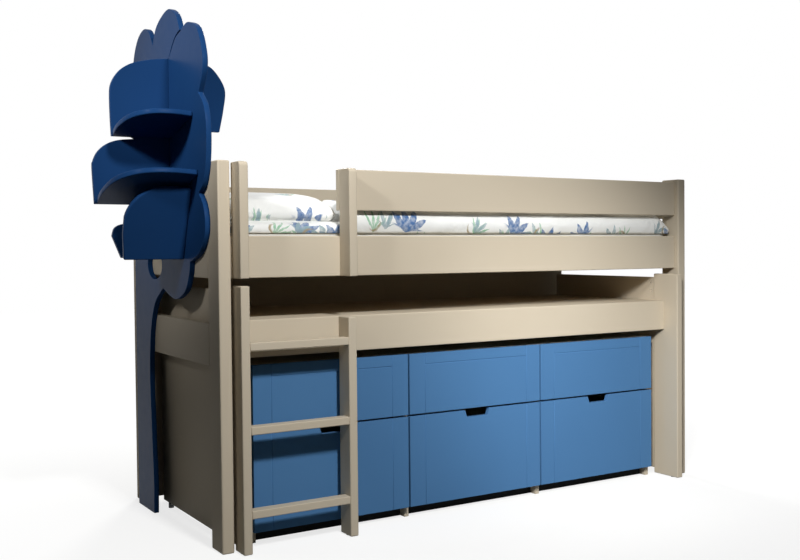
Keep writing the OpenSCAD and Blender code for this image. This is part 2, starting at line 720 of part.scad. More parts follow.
end_post(0, 0);  // left_front_post
end_post(0, bed_depth - post_d);  // left_rear_post
end_post(inner_x1, 0);  // right_front_post
end_post(inner_x1, bed_depth - post_d);  // right_rear_post
end_rail(true, mid_rail_bottom, mid_rail_h);  // left_mid_rail
end_rail(false, mid_rail_bottom, mid_rail_h);  // right_mid_rail
end_rail(true, bed_rail_bottom, bed_rail_h);  // left_bed_rail
end_rail(false, bed_rail_bottom, bed_rail_h);  // right_bed_rail
end_rail(true, guard_rail_bottom, guard_rail_h);  // left_guard_rail
end_rail(false, guard_rail_bottom, guard_rail_h);  // right_guard_rail
side_rail(front_rail_y, bed_rail_bottom, bed_rail_h);  // front_bed_rail
front_guard_rail();
side_rail(rear_rail_y, bed_rail_bottom, bed_rail_h);  // rear_bed_rail
side_rail(rear_rail_y, guard_rail_bottom, guard_rail_h);  // rear_guard_rail
guard_post(stile_x, bed_rail_bottom + guard_post_h);  // left_guard_post
guard_post(second_x + guard_offset, front_guard_top);  // middle_guard_post
back_panel();
rail_brackets();
slat_bearers();
slats();
mattress();
pillow();
duvet();
desk_guides();
stile(stile_x, desk_end_h);  // left_stile
stile(second_x, desk_top_z);  // right_stile
rungs();
desk_beam();
desk_top();
desk_rear_rail();
desk_left_side();
desk_right_side();
desk_right_board();
desk_feet();
chest_uprights();
chest_top();
chest_bottoms();
chest_back();
chest_plinths();
drawer_runners();
drawer_front(0, true);  // left_upper_front
drawer_box(0, true);  // left_upper_box
drawer_front(0, false);  // left_lower_front
drawer_box(0, false);  // left_lower_box
drawer_front(1, true);  // middle_upper_front
drawer_box(1, true);  // middle_upper_box
drawer_front(1, false);  // middle_lower_front
drawer_box(1, false);  // middle_lower_box
drawer_front(2, true);  // right_upper_front
drawer_box(2, true);  // right_upper_box
drawer_front(2, false);  // right_lower_front
drawer_box(2, false);  // right_lower_box
tree_board();
cross_board();
shelf(0);  // top_shelf
shelf(1);  // middle_shelf
low_shelf();
low_front();
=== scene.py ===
import bmesh
import bpy
import json
import math
from mathutils import Matrix, Vector, noise

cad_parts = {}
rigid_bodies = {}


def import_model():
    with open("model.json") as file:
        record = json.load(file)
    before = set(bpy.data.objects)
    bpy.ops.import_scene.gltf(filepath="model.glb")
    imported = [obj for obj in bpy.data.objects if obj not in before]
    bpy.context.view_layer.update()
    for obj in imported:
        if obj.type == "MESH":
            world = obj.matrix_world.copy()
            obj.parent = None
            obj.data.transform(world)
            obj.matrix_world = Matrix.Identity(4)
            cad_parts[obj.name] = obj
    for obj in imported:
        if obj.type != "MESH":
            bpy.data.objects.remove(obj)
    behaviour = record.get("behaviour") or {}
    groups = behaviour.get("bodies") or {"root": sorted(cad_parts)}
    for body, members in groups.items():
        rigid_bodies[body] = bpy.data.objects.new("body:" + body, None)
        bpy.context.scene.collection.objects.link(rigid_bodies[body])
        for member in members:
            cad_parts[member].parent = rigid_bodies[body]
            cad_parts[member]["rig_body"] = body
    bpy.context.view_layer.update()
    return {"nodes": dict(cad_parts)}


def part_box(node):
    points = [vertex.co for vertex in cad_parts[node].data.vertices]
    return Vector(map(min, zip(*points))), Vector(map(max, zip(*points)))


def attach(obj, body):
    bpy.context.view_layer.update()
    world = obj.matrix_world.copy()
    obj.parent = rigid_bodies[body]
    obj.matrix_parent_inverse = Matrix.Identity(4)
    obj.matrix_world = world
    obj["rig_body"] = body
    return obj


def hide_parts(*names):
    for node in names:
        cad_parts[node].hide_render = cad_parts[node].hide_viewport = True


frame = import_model()
nodes = frame["nodes"]

# Corner posts and rails of the two end frames: fibreboard with softly rounded edges, sprayed
# with satin cream lacquer. The rails sit flush with the posts' outer faces and are dowelled in.


def linear(code):
    """An sRGB hex value as the linear colour that a shader wants."""
    parts = [int(code[i:i + 2], 16) / 255 for i in (1, 3, 5)]
    return [c / 12.92 if c <= 0.04045 else ((c + 0.055) / 1.055) ** 2.4 for c in parts] + [1.0]


def add(material, kind, settings=None, links=None):
    """Adds a node, sets its properties, and fills or links its sockets."""
    node = material.node_tree.nodes.new(kind)
    for name, value in (settings or {}).items():
        setattr(node, name, value)
    for socket, value in (links or {}).items():
        if isinstance(value, bpy.types.NodeSocket):
            material.node_tree.links.new(value, node.inputs[socket])
        else:
            node.inputs[socket].default_value = value
    return node


def new_material(name):
    """A material with no nodes in it yet."""
    material = bpy.data.materials.new(name)
    material.use_nodes = True
    material.node_tree.nodes.clear()
    return material


def sprayed_lacquer(name, colour, darker, roughness, index):
    # Sprayed lacquer on fibreboard: an even colour that drifts a little over half a metre, and the
    # faint orange peel of a sprayed film, 3 mm from crest to crest, drawn slightly coarse to show.
    # Its index is far below a real film's 1.5, so that the white backdrop, which the side faces
    # mirror at a flat angle, leaves them as dark as they look in the photograph.
    m = new_material(name)
    place = add(m, "ShaderNodeTexCoord").outputs["Object"]
    drift = add(m, "ShaderNodeTexNoise", links={"Vector": place, "Scale": 2.2, "Detail": 3.0})
    film = add(m, "ShaderNodeTexNoise", links={"Vector": place, "Scale": 330.0, "Detail": 1.5})
    dust = add(m, "ShaderNodeTexNoise", links={"Vector": place, "Scale": 28.0, "Detail": 5.0})
    shade = add(m, "ShaderNodeMix", {"data_type": "RGBA"},
                {0: drift.outputs["Fac"], 6: linear(colour), 7: linear(darker)})
    rough = add(m, "ShaderNodeMapRange", links={"Value": dust.outputs["Fac"], 3: roughness - 0.05,
                                                4: roughness + 0.06})
    peel = add(m, "ShaderNodeBump", links={"Height": film.outputs["Fac"], "Strength": 0.12,
                                           "Distance": 0.0004})
    finish = add(m, "ShaderNodeBsdfPrincipled", links={
        "Base Color": shade.outputs[2], "Roughness": rough.outputs[0], "Normal": peel.outputs[0],
        "IOR": index})
    add(m, "ShaderNodeOutputMaterial", links={"Surface": finish.outputs[0]})
    return m


def rounded(name, radius, material, segments=3):
    """A board like the CAD node of that name, with its edges rounded over."""
    flat_angle, sharp_angle = 0.01, 0.5
    bm = bmesh.new()
    bm.from_mesh(nodes[name].data)
    bmesh.ops.remove_doubles(bm, verts=bm.verts, dist=1e-5)
    bmesh.ops.dissolve_limit(bm, angle_limit=flat_angle, verts=bm.verts, edges=bm.edges)
    for face in bm.faces:
        face.smooth = any(flat_angle < e.calc_face_angle(0) < sharp_angle for e in face.edges)
    sharp = [e for e in bm.edges if e.calc_face_angle(0) > sharp_angle]
    made = bmesh.ops.bevel(bm, geom=sharp, offset=radius, offset_type="OFFSET", segments=segments,
                           profile=0.5, affect="EDGES", material=-1, clamp_overlap=True)
    for face in made["faces"]:
        face.smooth = True
    mesh = bpy.data.meshes.new(name + "_finished")
    bm.to_mesh(mesh)
    bm.free()
    mesh.materials.append(material)
    piece = bpy.data.objects.new(name + "_finished", mesh)
    bpy.context.scene.collection.objects.link(piece)
    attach(piece, nodes[name]["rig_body"])
    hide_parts(name)
    return piece


cream = sprayed_lacquer("satin_cream_lacquer", "#CFC4B0", "#C8BBA5", 0.4, 1.06)
for name in ("left_front_post", "left_rear_post", "right_front_post", "right_rear_post"):
    rounded(name, 0.005, cream, 4)
for name in ("left_mid_rail", "right_mid_rail", "left_bed_rail", "right_bed_rail",
             "left_guard_rail", "right_guard_rail"):
    rounded(name, 0.003, cream)

# Side rails, and the two short guard posts screwed to their faces: the same lacquered board.
# The front guard rail stops at the middle guard post and leaves the ladder's way in open.
for name in ("front_bed_rail", "rear_bed_rail", "front_guard_rail", "rear_guard_rail"):
    rounded(name, 0.003, cream)
for name in ("left_guard_post", "middle_guard_post"):
    rounded(name, 0.004, cream, 4)

# Back panel and slat bearers, lacquered with the frame, and the slats that lie on the bearers:
# planed birch with an open, straight grain along each slat.
for name in ("back_panel", "slat_bearers"):
    rounded(name, 0.0015, cream, 2)


def planed_birch():
    # Planed birch: pale yellow-brown, with grain lines 4 mm apart that run across the bed.
    m = new_material("planed_birch")
    place = add(m, "ShaderNodeTexCoord").outputs["Object"]
    along = add(m, "ShaderNodeMapping", links={"Vector": place, "Scale": (1.0, 0.05, 1.0)})
    grain = add(m, "ShaderNodeTexNoise", links={"Vector": along.outputs[0], "Scale": 240.0,
                                                "Detail": 4.0, "Distortion": 0.6})
    tone = add(m, "ShaderNodeTexNoise", links={"Vector": place, "Scale": 3.0})
    mixed = add(m, "ShaderNodeMix", {"data_type": "RGBA"},
                {0: grain.outputs["Fac"], 6: linear("#DDBF90"), 7: linear("#C39E68")})
    worn = add(m, "ShaderNodeMix", {"data_type": "RGBA"},
               {0: tone.outputs["Fac"], 6: mixed.outputs[2], 7: linear("#D2B07C")})
    fibre = add(m, "ShaderNodeBump", links={"Height": grain.outputs["Fac"], "Strength": 0.3,
                                            "Distance": 0.0005})
    finish = add(m, "ShaderNodeBsdfPrincipled", links={
        "Base Color": worn.outputs[2], "Roughness": 0.62, "Normal": fibre.outputs[0]})
    add(m, "ShaderNodeOutputMaterial", links={"Surface": finish.outputs[0]})
    return m


rounded("slats", 0.003, planed_birch(), 2)


# Steel angles in the frame's corners and the drawers' angle runners: thin sheet, folded and
# zinc-plated, which gives it a bright, slightly cloudy grey with a spangle about 6 mm across.
def plated_steel():
    m = new_material("zinc_plated_steel")
    place = add(m, "ShaderNodeTexCoord").outputs["Object"]
    spangle = add(m, "ShaderNodeTexVoronoi", links={"Vector": place, "Scale": 160.0})
    cloud = add(m, "ShaderNodeTexNoise", links={"Vector": place, "Scale": 35.0, "Detail": 4.0})
    tone = add(m, "ShaderNodeMix", {"data_type": "RGBA"},
               {0: spangle.outputs["Distance"], 6: linear("#B9BBBD"), 7: linear("#A2A5A8")})
    rough = add(m, "ShaderNodeMapRange", links={"Value": cloud.outputs["Fac"], 3: 0.28, 4: 0.46})
    finish = add(m, "ShaderNodeBsdfPrincipled", links={
        "Base Color": tone.outputs[2], "Metallic": 1.0, "Roughness": rough.outputs[0]})
    add(m, "ShaderNodeOutputMaterial", links={"Surface": finish.outputs[0]})
    return m


steel = plated_steel()
for name in ("rail_brackets", "drawer_runners"):
    rounded(name, 0.0006, steel, 1)


# Desk guides and feet: blocks and gliders turned or moulded from grey nylon, with the fine
# matt grain of a moulded part, 0.8 mm from grain to grain.
def moulded_nylon():
    m = new_material("moulded_nylon")
    place = add(m, "ShaderNodeTexCoord").outputs["Object"]
    grit = add(m, "ShaderNodeTexNoise", links={"Vector": place, "Scale": 1200.0, "Detail": 2.0})
    tone = add(m, "ShaderNodeMix", {"data_type": "RGBA"},
               {0: grit.outputs["Fac"], 6: linear("#3B3C3E"), 7: linear("#2E2F31")})
    skin = add(m, "ShaderNodeBump", links={"Height": grit.outputs["Fac"], "Strength": 0.25,
                                           "Distance": 0.0003})
    finish = add(m, "ShaderNodeBsdfPrincipled", links={
        "Base Color": tone.outputs[2], "Roughness": 0.55, "Normal": skin.outputs[0]})
    add(m, "ShaderNodeOutputMaterial", links={"Surface": finish.outputs[0]})
    return m


nylon = moulded_nylon()
rounded("desk_guides", 0.003, nylon)
rounded("desk_feet", 0.0006, nylon, 2)

# Pull-out desk with its ladder: two stiles, three flat rungs flush with the stiles' front edges,
# a deep front beam, the top, and side panels held clear of the floor. All in cream lacquer.
for name in ("left_stile", "right_stile", "desk_right_board"):
    rounded(name, 0.004, cream, 4)
for name in ("rungs", "desk_beam", "desk_rear_rail"):
    rounded(name, 0.003, cream)
for name in ("desk_top", "desk_left_side", "desk_right_side"):
    rounded(name, 0.0015, cream, 2)

# Drawer chest: cream boards dowelled together round three columns of drawers. It stands on the
# floor by itself, on the ends of its uprights, with a dark plinth set well back between them.
for name in ("chest_uprights", "chest_top", "chest_bottoms", "chest_back"):
    rounded(name, 0.001, cream, 2)
plinth_grey = sprayed_lacquer("dark_plinth_lacquer", "#3A3C3D", "#333536", 0.55, 1.06)
rounded("chest_plinths", 0.001, plinth_grey, 2)

# Six drawer fronts: fibreboard with a narrow groove routed near each side, and a hand notch in
# the lower ones, sprayed mid blue. The boxes behind them are plain off-white board. Each front is
# drawn 1 mm slimmer a side than its CAD node, so that the joints between the fronts read dark.
blue = sprayed_lacquer("satin_blue_lacquer", "#527FAD", "#4C78A5", 0.36, 1.06)
off_white = sprayed_lacquer("off_white_foil", "#DAD4C7", "#D2CCBE", 0.5, 1.06)
slimmer = 2 * 0.001
for column in ("left", "middle", "right"):
    for row in ("upper", "lower"):
        front = rounded(f"{column}_{row}_front", 0.0008, blue, 2)
        low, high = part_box(f"{column}_{row}_front")
        size, middle = high - low, (low + high) / 2
        for vert in front.data.vertices:
            vert.co.x = middle.x + (vert.co.x - middle.x) * (1 - slimmer / size.x)
            vert.co.z = middle.z + (vert.co.z - middle.z) * (1 - slimmer / size.z)
        rounded(f"{column}_{row}_box", 0.001, off_white, 1)

# Tree bookcase: two crossed boards, three shelves and the low pocket's front, all cut from
# fibreboard, their edges rounded well over, and sprayed with a smoother deep blue lacquer.
deep_blue = sprayed_lacquer("gloss_deep_blue_lacquer", "#1B3F6E", "#16365F", 0.34, 1.08)
for name in ("tree_board", "cross_board", "top_shelf", "middle_shelf", "low_shelf", "low_front"):
    rounded(name, 0.004, deep_blue, 4)


# Mattress: a block of foam in a woven, quilted cover. Its border is drawn in a little between two
# corded seams, where the cover's top and bottom are sewn on.
def woven_cover():
    # Woven ticking: white yarn 1.2 mm apart, drawn twice as coarse, over a 90 mm diamond quilt.
    m = new_material("woven_ticking")
    place = add(m, "ShaderNodeTexCoord").outputs["Object"]
    warp = add(m, "ShaderNodeTexWave", {"bands_direction": "X"}, {"Vector": place, "Scale": 130.0})
    weft = add(m, "ShaderNodeTexWave", {"bands_direction": "Y"}, {"Vector": place, "Scale": 130.0})
    yarn = add(m, "ShaderNodeMath", {"operation": "ADD"},
               {0: warp.outputs["Fac"], 1: weft.outputs["Fac"]})
    turned = add(m, "ShaderNodeMapping", links={"Vector": place, "Rotation": (0, 0, math.pi / 4)})
    quilt_a = add(m, "ShaderNodeTexWave", {"bands_direction": "X"},
                  {"Vector": turned.outputs[0], "Scale": 3.5})
    quilt_b = add(m, "ShaderNodeTexWave", {"bands_direction": "Y"},
                  {"Vector": turned.outputs[0], "Scale": 3.5})
    quilt = add(m, "ShaderNodeMath", {"operation": "MULTIPLY"},
                {0: quilt_a.outputs["Fac"], 1: quilt_b.outputs["Fac"]})
    # Painted shade: the quilt's sunken stitch lines are drawn darker and its raised puffs lighter,
    # following the quilt's bump height.
    tone = add(m, "ShaderNodeMix", {"data_type": "RGBA"},
               {0: quilt.outputs[0], 6: linear("#DEDDD6"), 7: linear("#EAE9E4")})
    puff = add(m, "ShaderNodeBump", links={"Height": quilt.outputs[0], "Strength": 0.5,
                                           "Distance": 0.004})
    cloth = add(m, "ShaderNodeBump", links={"Height": yarn.outputs[0], "Strength": 0.3,
                                            "Distance": 0.0004, "Normal": puff.outputs[0]})
    finish = add(m, "ShaderNodeBsdfPrincipled", links={
        "Base Color": tone.outputs[2], "Roughness": 0.85, "Sheen Weight": 0.2,
        "Normal": cloth.outputs[0]})
    add(m, "ShaderNodeOutputMaterial", links={"Surface": finish.outputs[0]})
    return m


def show(mesh, name, material, body):
    """Puts a finished mesh into the scene, on its body."""
    mesh.materials.clear()
    mesh.materials.append(material)
    piece = bpy.data.objects.new(name, mesh)
    bpy.context.scene.collection.objects.link(piece)
    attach(piece, body)
    return piece


low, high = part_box("mattress")
size, middle = high - low, (low + high) / 2
corner_radius, rim_radius = 0.06, 0.024
waist_depth, waist_share = 0.003, 0.2
bm = bmesh.new()
bmesh.ops.create_cube(bm, size=1, matrix=Matrix.Translation(middle) @ Matrix.Diagonal((*size, 1)))
upright = [e for e in bm.edges if abs(e.verts[0].co.z - e.verts[1].co.z) > 0.01]
bmesh.ops.bevel(bm, geom=upright, offset=corner_radius, offset_type="OFFSET", segments=8,
                profile=0.5, affect="EDGES", material=-1)
rims = [e for e in bm.edges if abs(e.verts[0].co.z - e.verts[1].co.z) < 1e-5]
bmesh.ops.bevel(bm, geom=rims, offset=rim_radius, offset_type="OFFSET", segments=5,
                profile=0.5, affect="EDGES", material=-1)
for height in (0.35, 0.5, 0.65):
    bmesh.ops.bisect_plane(bm, geom=bm.verts[:] + bm.edges[:] + bm.faces[:], dist=1e-6,
                           plane_co=(0, 0, low.z + size.z * height), plane_no=(0, 0, 1))
for vert in bm.verts:
    level = (vert.co.z - middle.z) / size.z
    if abs(level) < waist_share:
        pull = waist_depth * (1 - (level / waist_share) ** 2)
        off = vert.co - middle
        if abs(off.x) > size.x * 0.49:
            vert.co.x -= math.copysign(pull, off.x)
        if abs(off.y) > size.y * 0.49:
            vert.co.y -= math.copysign(pull, off.y)
for face in bm.faces:
    face.smooth = True
mesh = bpy.data.meshes.new("mattress_cover")
bm.to_mesh(mesh)
bm.free()
ticking = woven_cover()
mattress = show(mesh, "mattress_cover", ticking, "bed")
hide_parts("mattress")


def settled(holder):
    """The mesh that an object shows now, with the object itself taken away."""
    graph = bpy.context.evaluated_depsgraph_get()
    mesh = bpy.data.meshes.new_from_object(holder.evaluated_get(graph))
    bpy.data.objects.remove(holder)
    return mesh


def corded_seam(name, height, inset, thickness, material):
    """A covered cord sewn round the mattress border at that height."""
    curve = bpy.data.curves.new(name, "CURVE")
    curve.dimensions = "3D"
    curve.bevel_depth = thickness
    curve.bevel_resolution = 3
    line = curve.splines.new("POLY")
    corners = [(1, 1, 0), (-1, 1, 90), (-1, -1, 180), (1, -1, 270)]
    steps, bend = 8, corner_radius - inset
    ring = []
    for sx, sy, start in corners:
        for step in range(steps + 1):
            a = math.radians(start + step * 90 / steps)
            ring.append((middle.x + sx * (size.x / 2 - corner_radius) + bend * math.cos(a),
                         middle.y + sy * (size.y / 2 - corner_radius) + bend * math.sin(a), height))
    line.points.add(len(ring) - 1)
    for point, place in zip(line.points, ring):
        point.co = (*place, 1)
    line.use_cyclic_u = True
    holder = bpy.data.objects.new(name + "_path", curve)
    bpy.context.scene.collection.objects.link(holder)
    bpy.context.view_layer.update()
    mesh = settled(holder)
    for polygon in mesh.polygons:
        polygon.use_smooth = True
    return show(mesh, name, material, "bed")


cord_inset, cord_drop, cord_radius = 0.006, 0.0085, 0.003
for name, height in (("mattress_top_cord", high.z - cord_drop),
                     ("mattress_bottom_cord", low.z + cord_drop)):
    corded_seam(name, height, cord_inset, cord_radius, ticking)


# Printed bedding: white cotton over a filled duvet and pillow, with a loose watercolour print of
# spiky tufts in blue, green and grey-blue, and tan crescents.
# A motif is worked out in its own cell, whose side is 1. Its outline softens over 1/stroke_edge.
stroke_edge, fan_edge = 45.0, 8.0


def tuft(m, spot, turn, reach, base, spikes, spread):
    """Mask of a fan of brush strokes: a radius that grows and shrinks with the angle."""
    turned = add(m, "ShaderNodeVectorRotate", {"rotation_type": "Z_AXIS"},
                 {"Vector": spot, "Angle": turn})
    at = add(m, "ShaderNodeSeparateXYZ", links={0: turned.outputs[0]})
    angle = add(m, "ShaderNodeMath", {"operation": "ARCTAN2"},
                {0: at.outputs["Y"], 1: at.outputs["X"]})
    far = add(m, "ShaderNodeVectorMath", {"operation": "LENGTH"}, {0: turned.outputs[0]})
    phase = add(m, "ShaderNodeMath", {"operation": "MULTIPLY"}, {0: angle.outputs[0], 1: spikes})
    tooth = add(m, "ShaderNodeMath", {"operation": "PINGPONG"}, {0: phase.outputs[0], 1: 1.0})
    limit = add(m, "ShaderNodeMath", {"operation": "MULTIPLY_ADD"},
                {0: tooth.outputs[0], 1: reach * (1 - base), 2: reach * base})
    gap = add(m, "ShaderNodeMath", {"operation": "SUBTRACT"},
              {0: limit.outputs[0], 1: far.outputs["Value"]})
    soft = add(m, "ShaderNodeMath", {"operation": "MULTIPLY", "use_clamp": True},
               {0: gap.outputs[0], 1: stroke_edge})
    wide = add(m, "ShaderNodeMath", {"operation": "ABSOLUTE"}, {0: angle.outputs[0]})
    fan = add(m, "ShaderNodeMath", {"operation": "SUBTRACT"}, {0: spread, 1: wide.outputs[0]})
    edge = add(m, "ShaderNodeMath", {"operation": "MULTIPLY", "use_clamp": True},
               {0: fan.outputs[0], 1: fan_edge})
    return add(m, "ShaderNodeMath", {"operation": "MULTIPLY"},
               {0: soft.outputs[0], 1: edge.outputs[0]}).outputs[0]


def crescent(m, spot, turn, radius, thickness):
    """Mask of one curved stroke: a disc with another, shifted disc taken out of it."""
    turned = add(m, "ShaderNodeVectorRotate", {"rotation_type": "Z_AXIS"},
                 {"Vector": spot, "Angle": turn})
    moved = add(m, "ShaderNodeVectorMath", {"operation": "SUBTRACT"},
                {0: turned.outputs[0], 1: (thickness, 0, 0)})
    edges = []
    for place, limit, side in ((turned, radius, 1), (moved, radius * 0.92, -1)):
        far = add(m, "ShaderNodeVectorMath", {"operation": "LENGTH"}, {0: place.outputs[0]})
        gap = add(m, "ShaderNodeMath", {"operation": "SUBTRACT"},
                  {0: limit, 1: far.outputs["Value"]})
        edges.append(add(m, "ShaderNodeMath", {"operation": "MULTIPLY", "use_clamp": True},
                         {0: gap.outputs[0], 1: side * stroke_edge}))
    return add(m, "ShaderNodeMath", {"operation": "MULTIPLY"},
               {0: edges[0].outputs[0], 1: edges[1].outputs[0]}).outputs[0]


def printed_cotton():
    # Plain-woven cotton, thread 0.4 mm apart and drawn at 1.4 mm, softly wrinkled. The print's
    # motifs are 40 to 130 mm wide and soak in unevenly, darker where the brush was fuller.
    m = new_material("printed_cotton")
    place = add(m, "ShaderNodeTexCoord").outputs["UV"]
    sway = add(m, "ShaderNodeTexNoise", links={"Vector": place, "Scale": 38.0, "Detail": 3.0})
    lean = add(m, "ShaderNodeVectorMath", {"operation": "SUBTRACT"},
               {0: sway.outputs["Color"], 1: (0.5, 0.5, 0.5)})
    moved = add(m, "ShaderNodeVectorMath", {"operation": "MULTIPLY_ADD"},
                {0: lean.outputs[0], 1: (0.016, 0.016, 0.0), 2: place})
    soak = add(m, "ShaderNodeTexNoise", links={"Vector": place, "Scale": 60.0, "Detail": 4.0})
    wash = add(m, "ShaderNodeMapRange", links={"Value": soak.outputs["Fac"], 1: 0.3, 2: 0.62,
                                               3: 0.5, 4: 1.0})
    colour = linear("#EDEEEB")
    # Each print: its colour, cells per metre, shift, share of empty cells, and for a tuft its
    # reach in the cell, how much of that its strokes share at the base, half strokes per radian,
    # and half its spread in radians. The last print is a crescent.
    prints = [
        ("#93BFA0", 4.9, (0.71, 0.4, 0.0), 0.15, (0.4, 0.22, 5.0, 0.8)),
        ("#456C9F", 4.4, (0.37, 0.41, 0.0), 0.25, (0.42, 0.55, 3.6, 1.3)),
        ("#8FA7AE", 5.4, (0.2, 0.34, 0.0), 0.2, (0.38, 0.3, 2.8, 1.0)),
        ("#A39270", 5.0, (0.64, 0.25, 0.0), 0.15, None),
    ]
    for code, cells, shift, dropped, shape in prints:
        shifted = add(m, "ShaderNodeMapping", links={"Vector": moved.outputs[0], "Location": shift,
                                                     "Scale": (cells, cells, 0.0)})
        cell = add(m, "ShaderNodeTexVoronoi", {"voronoi_dimensions": "2D"},
                   {"Vector": shifted.outputs[0], "Scale": 1.0, "Randomness": 0.45})
        spot = add(m, "ShaderNodeVectorMath", {"operation": "SUBTRACT"},
                   {0: shifted.outputs[0], 1: cell.outputs["Position"]}).outputs[0]
        pick = add(m, "ShaderNodeSeparateColor", links={0: cell.outputs["Color"]})
        turns, first_turn = (1.6, -2.4) if shape else (6.28, 0.0)
        turn = add(m, "ShaderNodeMath", {"operation": "MULTIPLY_ADD"},
                   {0: pick.outputs[0], 1: turns, 2: first_turn}).outputs[0]
        mask = tuft(m, spot, turn, *shape) if shape else crescent(m, spot, turn, 0.14, 0.055)
        kept = add(m, "ShaderNodeMath", {"operation": "GREATER_THAN"},
                   {0: pick.outputs[1], 1: dropped})
        drawn = add(m, "ShaderNodeMath", {"operation": "MULTIPLY"}, {0: mask, 1: kept.outputs[0]})
        soaked = add(m, "ShaderNodeMath", {"operation": "MULTIPLY"},
                     {0: drawn.outputs[0], 1: wash.outputs[0]})
        colour = add(m, "ShaderNodeMix", {"data_type": "RGBA"},
                     {0: soaked.outputs[0], 6: colour, 7: linear(code)}).outputs[2]
    thread_a = add(m, "ShaderNodeTexWave", {"bands_direction": "X"},
                   {"Vector": place, "Scale": 225.0})
    thread_b = add(m, "ShaderNodeTexWave", {"bands_direction": "Y"},
                   {"Vector": place, "Scale": 225.0})
    thread = add(m, "ShaderNodeMath", {"operation": "ADD"},
                 {0: thread_a.outputs["Fac"], 1: thread_b.outputs["Fac"]})
    crease = add(m, "ShaderNodeTexNoise", links={"Vector": place, "Scale": 8.0, "Detail": 3.5,
                                                 "Distortion": 0.9})
    soft = add(m, "ShaderNodeBump", links={"Height": crease.outputs["Fac"], "Strength": 0.5,
                                           "Distance": 0.02})
    weave = add(m, "ShaderNodeBump", links={"Height": thread.outputs[0], "Strength": 0.15,
                                            "Distance": 0.0003, "Normal": soft.outputs[0]})
    finish = add(m, "ShaderNodeBsdfPrincipled", links={
        "Base Color": colour, "Roughness": 0.9, "Sheen Weight": 0.2, "Normal": weave.outputs[0]})
    add(m, "ShaderNodeOutputMaterial", links={"Surface": finish.outputs[0]})
    return m


def swell(mesh, name, pressure, cap, growth, pinned):
    """Swells a closed cloth form from inside, moves no point by more than cap, returns its mesh."""
    steps = 20
    rest = [v.co.copy() for v in mesh.vertices]
    body = bpy.data.objects.new(name + "_cloth", mesh)
    bpy.context.scene.collection.objects.link(body)
    held = body.vertex_groups.new(name="held")
    held.add([v.index for v in mesh.vertices if pinned(v.co)], 1.0, "REPLACE")
    cloth = body.modifiers.new("cloth", "CLOTH")
    cloth.settings.quality = 5
    cloth.settings.use_pressure = True
    cloth.settings.uniform_pressure_force = pressure
    cloth.settings.shrink_min = -growth
    cloth.settings.bending_stiffness = 0.4
    cloth.settings.effector_weights.gravity = 0
    cloth.settings.vertex_group_mass = "held"
    cloth.collision_settings.use_collision = False
    for step in range(1, steps + 1):
        bpy.context.scene.frame_set(step)
    done = settled(body)
    bpy.context.scene.frame_set(1)
    for vert, start in zip(done.vertices, rest):
        move = vert.co - start
        if move.length > cap:
            vert.co = start + move * (cap / move.length)
    return done


def finish_cloth(mesh, rounds, divided):
    """Evens out a settled cloth in so many rounds, and divides its faces once where asked."""
    bm = bmesh.new()
    bm.from_mesh(mesh)
    for _ in range(rounds):
        bmesh.ops.smooth_vert(bm, verts=bm.verts, factor=0.4, use_axis_x=True, use_axis_y=True,
                              use_axis_z=True)
    if divided:
        bmesh.ops.subdivide_edges(bm, edges=bm.edges, cuts=1, use_grid_fill=True, smooth=0.6)
    for face in bm.faces:
        face.smooth = True
    bm.to_mesh(mesh)
    bm.free()
    return mesh


# Pillow: two cotton sheets sewn together at a rim and filled. It lies at the head of the bed on
# the duvet, flat below and full above, and its print runs down over the sides.
bm = bmesh.new()
bm.from_mesh(nodes["pillow"].data)
bmesh.ops.remove_doubles(bm, verts=bm.verts, dist=1e-5)
mesh = bpy.data.meshes.new("pillow_form")
bm.to_mesh(mesh)
bm.free()
former = bpy.data.objects.new("pillow_form", mesh)
bpy.context.scene.collection.objects.link(former)
remesh = former.modifiers.new("remesh", "REMESH")
remesh.mode = "VOXEL"
remesh.voxel_size = 0.007
bpy.context.view_layer.update()
mesh = settled(former)
low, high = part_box("pillow")
centre, half = (low + high) / 2, (high - low) / 2
rim_share, underside, most_fill, edge = 0.17, 0.35, 2.4, 0.99
rim = low.z + (high.z - low.z) * rim_share
for vert in mesh.vertices:
    if vert.co.z > rim:
        u = min(edge, abs(vert.co.x - centre.x) / half.x)
        v = min(edge, abs(vert.co.y - centre.y) / half.y)
        plain = ((1 - u ** 3) * (1 - v ** 3)) ** 0.6
        full = ((1 - u ** 6) * (1 - v ** 4)) ** 0.5
        vert.co.z = rim + (vert.co.z - rim) * min(most_fill, full / plain)
    else:
        vert.co.z = low.z + (vert.co.z - low.z) * underside
mesh = swell(mesh, "pillow", 4.0, 0.01, 0.04, lambda co: co.z < low.z + 0.004)
tallest = max(vert.co.z for vert in mesh.vertices)
for vert in mesh.vertices:
    vert.co.z = low.z + max(0.0, vert.co.z - low.z) * (high.z - low.z) / (tallest - low.z)
mesh = finish_cloth(mesh, 2, True)
cut = mesh.uv_layers.new(name="cut")
print_x, print_y, drape = 1.705, 0.481, 0.7
for loop in mesh.loops:
    co = mesh.vertices[loop.vertex_index].co
    u, v = (co.x - centre.x) / half.x, (co.y - centre.y) / half.y
    ends, sides = 0.01 + min(1.0, abs(u)) ** 6, 0.01 + min(1.0, abs(v)) ** 4
    drop = drape * (high.z - co.z) / (ends + sides)
    cut.data[loop.index].uv = (co.x + math.copysign(drop * ends, u) + print_x,
                               co.y + math.copysign(drop * sides, v) + print_y)
cotton = printed_cotton()
pillow = show(mesh, "pillow_cover", cotton, "bed")
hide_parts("pillow")

